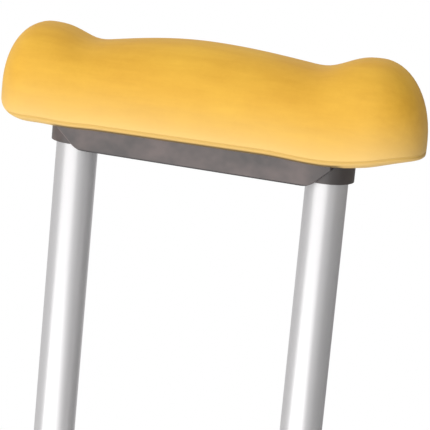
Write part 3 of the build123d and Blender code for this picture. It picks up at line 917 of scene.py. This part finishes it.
@dataclass
class UnderarmPad:
    """The moulded pad: a lobe at each end, a low crown between, and a hollow below for the saddle.

    Args:
        turns: Along the pad, from the nearer tube: left lobe, left valley, right valley and right lobe.
        crown: The crown's place along X.
        heights: Left lobe, left valley, crown, right valley and right lobe, over the underside.
        overhang: How far the left and the right tip stand out past the tubes.
        half_width: Half of its width.
        reaches: How far in the rounding of the left and of the right end starts.
        tips: Height of the left and of the right tip over the underside.
        tip_half: Half of the tip's height and width.
        lift: The underside over the saddle's lower edge.
        slope: How much the underside rises to the right.
        right_lift: Where past the right tube the underside starts to rise more, and how far.
        sags: How far the underside swells down at the left and at the right tube.
        sag_reaches: How far along that reaches: left, right inwards, and right outwards.
        softening: How far each way the crest is averaged.
        samples: How many points each way that takes.
        widest: The widest point, as a share of the section's height.
        powers: The squareness of the section above and below its widest point.
        rings: Cross-sections at each end and between them.
        points: Points round each cross-section.
        oversampling: How many times finer the curve is that they are spaced along.
    """

    turns: tuple[float, float, float, float] = (-15.6 * MM, 7.2 * MM, -10.0 * MM, 17.0 * MM)
    crown: float = -1.2 * MM
    heights: tuple[float, ...] = (51.2 * MM, 44.9 * MM, 52.2 * MM, 48.0 * MM, 56.1 * MM)
    overhang: tuple[float, float] = (42.3 * MM, 48.9 * MM)
    half_width: float = 25.0 * MM
    reaches: tuple[float, float] = (21.0 * MM, 27.7 * MM)
    tips: tuple[float, float] = (13.0 * MM, 12.5 * MM)
    tip_half: float = 3.0 * MM
    lift: float = 11.6 * MM
    slope: float = 0.0098
    right_lift: tuple[float, float] = (11.4 * MM, 5.4 * MM)
    sags: tuple[float, float] = (0.5 * MM, 1.3 * MM)
    sag_reaches: tuple[float, float, float] = (18.0 * MM, 32.0 * MM, 22.0 * MM)
    softening: float = 5.0 * MM
    samples: int = 4
    widest: float = 0.35
    powers: tuple[float, float] = (2.6, 4.5)
    rings: tuple[int, int] = (18, 60)
    points: int = 96
    oversampling: int = 6

    def __post_init__(self) -> None:
        """Reads the pad's place from the frame."""
        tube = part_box("right_upright")[1]
        self.tube_x = tube.x - tube.y
        self.left, self.right = -self.tube_x - self.overhang[0], self.tube_x + self.overhang[1]
        self.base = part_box("underarm_saddle")[0].z + self.lift
        tubes = (-self.tube_x, -self.tube_x, self.tube_x, self.tube_x)
        places = [tube + turn for tube, turn in zip(tubes, self.turns)]
        self.places = [*places[:2], self.crown, *places[2:]]

    def crest(self, x: float) -> float:
        """Height of the crest over the underside, before the ends are rounded.

        Args:
            x: The place along the pad.

        Returns:
            The height.
        """
        places, heights = self.places, self.heights
        if x <= places[0]:
            return heights[0]
        if x >= places[4]:
            return heights[4]
        step = next(index for index in range(4) if x <= places[index + 1])
        share = (x - places[step]) / (places[step + 1] - places[step])
        if step == 1:
            return spring_off(heights[1], heights[2], share)
        if step == 2:
            return spring_off(heights[3], heights[2], 1 - share)
        return ease(heights[step], heights[step + 1], share)

    def rounding(self, x: float) -> float:
        """How much of the end rounding applies, from 0 along the pad to 1 at its tips."""
        left = max(0.0, 1 - (x - self.left) / self.reaches[0])
        right = max(0.0, 1 - (self.right - x) / self.reaches[1])
        return 1 - math.sqrt(max(0.0, 1 - max(left, right) ** 2))

    def underside(self, x: float) -> float:
        """Height of the underside, before the ends are rounded.

        Args:
            x: The place along the pad.

        Returns:
            The height.
        """
        start, rise = self.right_lift
        past = max(0.0, (x - self.tube_x - start) / (self.right - self.tube_x - start))
        left_reach, inwards, outwards = self.sag_reaches
        reaches = (left_reach, outwards if x > self.tube_x else inwards)
        drop = 0.0
        for tube, depth, reach in zip((-self.tube_x, self.tube_x), self.sags, reaches):
            drop += ease(depth, 0, min(1.0, abs(x - tube) / reach))
        return self.base + self.slope * x + ease(0, rise, past) - drop

    def section(self, x: float) -> list[Vector]:
        """Points round the cross-section.

        Args:
            x: The place along the pad.

        Returns:
            The points, once round from the side that faces away.
        """
        end = self.rounding(x)
        tip = self.base + self.tips[0 if x < 0 else 1]
        low = blend(self.underside(x), tip - self.tip_half, end)
        shifts = [self.softening * step / self.samples for step in range(-self.samples, self.samples + 1)]
        crest = sum(self.crest(x + shift) for shift in shifts) / len(shifts)
        high = blend(self.base + crest, tip + self.tip_half, end)
        half = blend(self.half_width, self.tip_half, end)
        middle = blend(low, high, self.widest)
        loop = []
        fine = self.oversampling * self.points
        for step in range(fine):
            turn = 2 * math.pi * step / fine
            upper = math.sin(turn) >= 0
            across, up = superellipse(turn, self.powers[0 if upper else 1])
            loop.append(Vector((x, half * across, middle + up * (high - middle if upper else middle - low))))
        return evenly(loop, self.points)

    def stations(self) -> list[float]:
        """Where the cross-sections stand: evenly along the pad, and evenly round its ends."""
        ends, between = self.rings
        arc = [1 - math.cos(math.pi / 2 * step / ends) for step in range(1, ends + 1)]
        left = [self.left + self.reaches[0] * share for share in arc]
        right = [self.right - self.reaches[1] * share for share in arc]
        even = [blend(left[-1], right[-1], step / between) for step in range(1, between)]
        return [self.left, *left, *even, *reversed(right), self.right]

    def make(self, palette: Palette) -> None:
        """Builds the pad and hands it over, with each point's height over the underside for its finish.

        Args:
            palette: The materials.
        """
        piece = skinned("moulded_pad", [self.section(x) for x in self.stations()])
        SaddleSlot().cut(piece)
        settle(piece, "moulded_pad", 40.0)
        over = [(v.co.z - self.underside(v.co.x)) / MM for v in piece.data.vertices]
        piece.data.attributes.new("rim", "FLOAT", "POINT").data.foreach_set("value", over)
        finish_piece(piece, PAD_FINISH, palette.of(PAD_FINISH), Body.FRAME, "underarm_pad")


@dataclass
class GripSleeve:
    """The foam sleeve on the handgrip, fullest in its middle and soft at its ends.

    Args:
        swell: How much fuller the middle is than the ends.
        edge: The rounding of its end edges.
        bore: The radius of its bore.
        rings: Cross-sections between the rounded edges.
        edge_rings: Cross-sections round each edge.
        points: Points round each cross-section.
    """

    swell: float = 1.8 * MM
    edge: float = 2.2 * MM
    bore: float = 10.1 * MM
    rings: int = 28
    edge_rings: int = 6
    points: int = 72

    def profile(self, half: float, radius: float) -> list[tuple[float, float]]:
        """The sleeve's outline from its left bore edge to its right one.

        Args:
            half: Half of its length.
            radius: Its radius at the ends.

        Returns:
            Places along it with the radius at each.
        """
        end = [(-half, self.bore)]
        for step in range(self.edge_rings):
            turn = math.pi / 2 * step / self.edge_rings
            end.append((-half + self.edge * (1 - math.cos(turn)), radius - self.edge * (1 - math.sin(turn))))
        span = half - self.edge
        along = [span * (2 * step / self.rings - 1) for step in range(self.rings + 1)]
        body = [(x, radius + self.swell * (1 - (x / span) ** 2)) for x in along]
        return [*end, *body, *[(-x, around) for x, around in reversed(end)]]

    def make(self, palette: Palette) -> None:
        """Builds the sleeve and hands it over.

        Args:
            palette: The materials.
        """
        low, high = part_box("grip_sleeve")
        centre_z = (low.z + high.z) / 2
        radius = (high.z - low.z) / 2 - self.swell
        turns = [2 * math.pi * step / self.points for step in range(self.points)]
        loops = [[Vector((x, around * math.sin(turn), centre_z + around * math.cos(turn))) for turn in turns]
                 for x, around in self.profile(high.x, radius)]
        piece = settle(skinned("foam_sleeve", loops, ring=True), "foam_sleeve", 40.0)
        finish_piece(piece, GRIP_FINISH, palette.of(GRIP_FINISH), Body.GRIP, "grip_sleeve")


@dataclass
class RubberFoot:
    """The rubber foot, turned ring by ring: ribbed sole, flared skirt, and a beaded neck.

    Args:
        sole: The sole's radius.
        edge: Height of the sole's upright edge.
        edge_round: The rounding under it.
        edge_steps: Faces round it.
        neck: The neck's radius.
        neck_start: Where the flare meets the neck.
        flare_power: How hollow the flare is.
        flare_steps: Faces up it.
        height: The foot's height.
        bore: The bore's radius.
        floor: The bore's lower end.
        bead: The beads' radius.
        bead_pitch: Their spacing.
        bead_count: How many there are.
        bead_steps: Faces round each.
        groove: Width, depth and spacing of the sole's grooves.
        groove_count: How many there are.
        sides: Points round each ring.
    """

    sole: float = 21.0 * MM
    edge: float = 4.0 * MM
    edge_round: float = 1.0 * MM
    edge_steps: int = 4
    neck: float = 14.5 * MM
    neck_start: float = 24.0 * MM
    flare_power: float = 2.1
    flare_steps: int = 12
    height: float = 48.0 * MM
    bore: float = 11.2 * MM
    floor: float = 10.0 * MM
    bead: float = 1.2 * MM
    bead_pitch: float = 5.0 * MM
    bead_count: int = 3
    bead_steps: int = 6
    groove: tuple[float, float, float] = (2.0 * MM, 1.5 * MM, 5.0 * MM)
    groove_count: int = 3
    sides: int = 96

    def rings(self) -> list[tuple[float, float]]:
        """The radius and height of every ring, from the middle of the sole round to the bore's floor.

        Returns:
            The rings.
        """
        width, depth, pitch = self.groove
        found = [(pitch / 4, 0.0)]
        for index in range(self.groove_count):
            middle = (index + 1) * pitch
            found += [(middle - width / 2, 0.0), (middle - width / 2, depth)]
            found += [(middle + width / 2, depth), (middle + width / 2, 0.0)]
        for step in range(self.edge_steps + 1):
            turn = math.pi / 2 * step / self.edge_steps
            radius = self.sole - self.edge_round * (1 - math.sin(turn))
            found.append((radius, self.edge_round * (1 - math.cos(turn))))
        rise, run = self.neck_start - self.edge, self.sole - self.neck
        for step in range(self.flare_steps + 1):
            share = step / self.flare_steps
            found.append((self.neck + run * (1 - share) ** self.flare_power, self.edge + rise * share))
        lowest = self.height - self.bead - (self.bead_count - 1) * self.bead_pitch
        for index in range(self.bead_count):
            middle = lowest + index * self.bead_pitch
            for step in range(self.bead_steps + 1):
                turn = math.pi * step / self.bead_steps
                found.append((self.neck + self.bead * math.sin(turn), middle - self.bead * math.cos(turn)))
        found += [(self.bore, self.height), (self.bore, self.floor), (pitch / 4, self.floor)]
        return found

    def make(self, palette: Palette) -> None:
        """Turns the foot and hands it over.

        Args:
            palette: The materials.
        """
        deselect()
        rings = self.rings()
        bpy.ops.mesh.primitive_circle_add(vertices=self.sides, radius=rings[0][0], fill_type="NGON")
        piece = bpy.context.object
        bpy.ops.object.mode_set(mode="EDIT")
        bpy.ops.mesh.select_all(action="SELECT")
        for (radius, height), (next_radius, next_height) in zip(rings, rings[1:]):
            step = (0.0, 0.0, next_height - height)
            growth = next_radius / radius
            bpy.ops.mesh.extrude_region_move(TRANSFORM_OT_translate={"value": step})
            bpy.ops.transform.resize(value=(growth, growth, 1.0))
        bpy.ops.mesh.select_all(action="SELECT")
        bpy.ops.mesh.normals_make_consistent(inside=False)
        bpy.ops.object.mode_set(mode="OBJECT")
        settle(piece, "beaded_foot", 35.0)
        finish_piece(piece, TIP_FINISH, palette.of(TIP_FINISH), Body.LEG, "rubber_tip")


@dataclass
class Viewpoint:
    """The camera, at the photograph's viewing angle.

    Args:
        azimuth: Degrees to the right of straight on.
        elevation: Degrees above the horizon.
        roll: Degrees that the object leans clockwise in the picture.
        distance: From the aim point.
        aim: The aim point, along X and up from the saddle's lower edge.
        focal: Focal length in pixels of the picture.
        picture: The picture's side in pixels.
        sensor: The camera's sensor width, in its own millimetres.
        clip: The nearest and the furthest that it sees, in metres.
    """

    azimuth: float = 16.94
    elevation: float = 12.95
    roll: float = 5.43
    distance: float = 1257.3 * MM
    aim: tuple[float, float] = (10.73 * MM, -26.28 * MM)
    focal: float = 2400.0
    picture: float = 430.0
    sensor: float = 36.0
    clip: tuple[float, float] = (0.05, 200.0)

    def make(self) -> None:
        """Makes the camera and sets the scene to look through it."""
        data = bpy.data.cameras.new("viewpoint")
        data.sensor_width = self.sensor
        data.lens = self.focal / self.picture * self.sensor
        data.clip_start, data.clip_end = self.clip
        camera = bpy.data.objects.new("viewpoint", data)
        bpy.context.scene.collection.objects.link(camera)
        turn, lift = math.radians(self.azimuth), math.radians(self.elevation)
        back = Vector((math.sin(turn) * math.cos(lift), -math.cos(turn) * math.cos(lift), math.sin(lift)))
        target = Vector((self.aim[0], 0.0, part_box("underarm_saddle")[0].z + self.aim[1]))
        facing = (-back).to_track_quat("-Z", "Y").to_matrix().to_4x4()
        spin = Matrix.Rotation(math.radians(self.roll), 4, "Z")
        camera.matrix_world = Matrix.Translation(target + back * self.distance) @ facing @ spin
        bpy.context.scene.camera = camera


@dataclass
class Stage:
    """Floor, surroundings and lamps.

    Args:
        floor_size: The floor's side.
        floor_tone: Its own grey.
        shadow_reach: Where round the foot the floor stops showing shade to the camera.
        room: How bright the surroundings are to the left, right, front, back, top and bottom.
    """

    floor_size: float = 80.0
    floor_tone: float = 0.86
    shadow_reach: tuple[float, float] = (0.5, 1.6)
    room: dict[str, float] = field(default_factory=lambda: {
        "left": 0.98, "right": 0.34, "front": 0.58, "back": 0.50, "top": 0.80, "bottom": 0.60})

    def make(self) -> None:
        """Makes the whole stage."""
        self.floor()
        self.surroundings()
        for fitting in (*LAMPS, *FLAGS):
            fitting.make()

    def floor(self) -> None:
        """A pale floor that keeps the object's shadow and turns white with distance."""
        deselect()
        bpy.ops.mesh.primitive_plane_add(size=self.floor_size)
        floor = bpy.context.object
        floor.name = "floor"
        made, graph = blank_material("floor")
        x, y, _ = graph.axes(graph.place())
        away = ((x * x + y * y) ** 0.5).between(*self.shadow_reach)
        seen = graph.wire(graph.add("ShaderNodeLightPath"), "Is Camera Ray")
        tone = self.floor_tone
        plain = graph.add("ShaderNodeBsdfDiffuse", None, {"Color": (tone, tone, tone, 1.0)})
        white = graph.add("ShaderNodeEmission", None, {"Color": WHITE, "Strength": 1.0})
        inputs = {0: away * seen, 1: graph.wire(plain), 2: graph.wire(white)}
        graph.show(graph.add("ShaderNodeMixShader", None, inputs))
        floor.data.materials.append(made)

    def surroundings(self) -> None:
        """White to the camera, and a soft uneven room to everything else."""
        world = bpy.data.worlds.new("room")
        bpy.context.scene.world = world
        world.use_nodes = True
        graph = Graph(world.node_tree)
        x, y, z = graph.axes(graph.wire(graph.add("ShaderNodeTexCoord"), "Generated"))
        level = 0.0
        for axis, ahead, behind in ((x, "right", "left"), (y, "back", "front"), (z, "top", "bottom")):
            level = level + axis.greater(0.0) ** 2.0 * self.room[ahead]
            level = level + (axis.lesser(0.0) * -1.0) ** 2.0 * self.room[behind]
        seen = graph.wire(graph.add("ShaderNodeLightPath"), "Is Camera Ray")
        dim, white = [
            graph.wire(graph.add("ShaderNodeBackground", None, {"Color": WHITE, "Strength": strength}))
            for strength in (level, 1.0)]
        both = graph.add("ShaderNodeMixShader", None, {0: seen, 1: dim, 2: white})
        graph.show(both, "ShaderNodeOutputWorld")


@dataclass(frozen=True)
class Fitting:
    """A card or lamp beside the object, which the camera doesn't see.

    Args:
        name: Its name.
        azimuth: Where it stands, in degrees to the right of straight on.
        distance: How far out it stands.
        height: The height of its middle.
        size: Its width and height.
    """

    name: str
    azimuth: float
    distance: float
    height: float
    size: tuple[float, float]

    def middle(self) -> Vector:
        """The place of its middle."""
        turn = math.radians(self.azimuth)
        return Vector((math.sin(turn) * self.distance, -math.cos(turn) * self.distance, self.height))


@dataclass(frozen=True)
class Flag(Fitting):
    """A dark card, which keeps the room off one side.

    Args:
        tone: Its own grey.
    """

    tone: float

    def make(self) -> None:
        """Makes the card, facing the object."""
        facing = (math.pi / 2, 0.0, math.radians(self.azimuth))
        deselect()
        bpy.ops.mesh.primitive_plane_add(size=1.0, location=self.middle(), rotation=facing)
        card = bpy.context.object
        card.scale = (*self.size, 1.0)
        bpy.ops.object.transform_apply(location=True, rotation=True, scale=True)
        card.name = card.data.name = self.name
        card.visible_camera = False
        made, graph = blank_material(self.name)
        grey = (self.tone, self.tone, self.tone, 1.0)
        graph.show(graph.add("ShaderNodeBsdfDiffuse", None, {"Color": grey}))
        card.data.materials.append(made)


@dataclass(frozen=True)
class Lamp(Fitting):
    """A soft rectangular lamp.

    Args:
        radiance: How bright its face is.
        aim_height: The height that it faces.
    """

    radiance: float
    aim_height: float

    def make(self) -> None:
        """Makes the lamp, with its power worked out from its face."""
        data = bpy.data.lights.new(self.name, "AREA")
        data.shape = "RECTANGLE"
        data.size, data.size_y = self.size
        data.energy = self.radiance * math.pi * self.size[0] * self.size[1]
        lamp = bpy.data.objects.new(self.name, data)
        bpy.context.scene.collection.objects.link(lamp)
        lamp.location = self.middle()
        aim = Vector((0.0, 0.0, self.aim_height)) - lamp.location
        lamp.rotation_mode = "QUATERNION"
        lamp.rotation_quaternion = aim.to_track_quat("-Z", "Y")
        lamp.visible_camera = False


LAMPS = (
    Lamp("key_softbox", -15.0, 1.5, 1.02, (2.15, 1.7), 0.83, 1.05),
    Lamp("low_reflector", -10.0, 0.30, 0.80, (0.7, 0.35), 0.95, 1.19),
)
FLAGS = (Flag("side_flag", 114.0, 0.29, 1.14, (0.62, 0.80), 0.34),)


def main() -> None:
    """Builds and dresses everything in order."""
    logging.basicConfig(level=logging.INFO, format="%(message)s")
    bpy.context.scene.view_settings.view_transform = "Standard"
    palette = Palette()
    Viewpoint().make()
    Stage().make()
    palette.dress(TUBE_FINISH, "left_upright", "right_upright", "centre_tube", "leg_tube")
    palette.dress(STEEL_FINISH, "leg_bolts", "leg_bolt_washers", "leg_bolt_nuts", "grip_bolt",
                  "grip_washers", "wing_nut_washer", "wing_nut", "saddle_screws", "tip_washer",
                  "snap_button", "button_spring")
    palette.dress(SADDLE_FINISH, "underarm_saddle")
    palette.dress(PLUG_FINISH, "upright_top_plugs", "tube_spacers", "centre_tube_cap", "upright_end_caps",
                  "leg_collar", "leg_guide_plug", "grip_core")
    for piece in (UnderarmPad(), GripSleeve(), RubberFoot()):
        piece.make(palette)


if __name__ == "__main__":
    main()
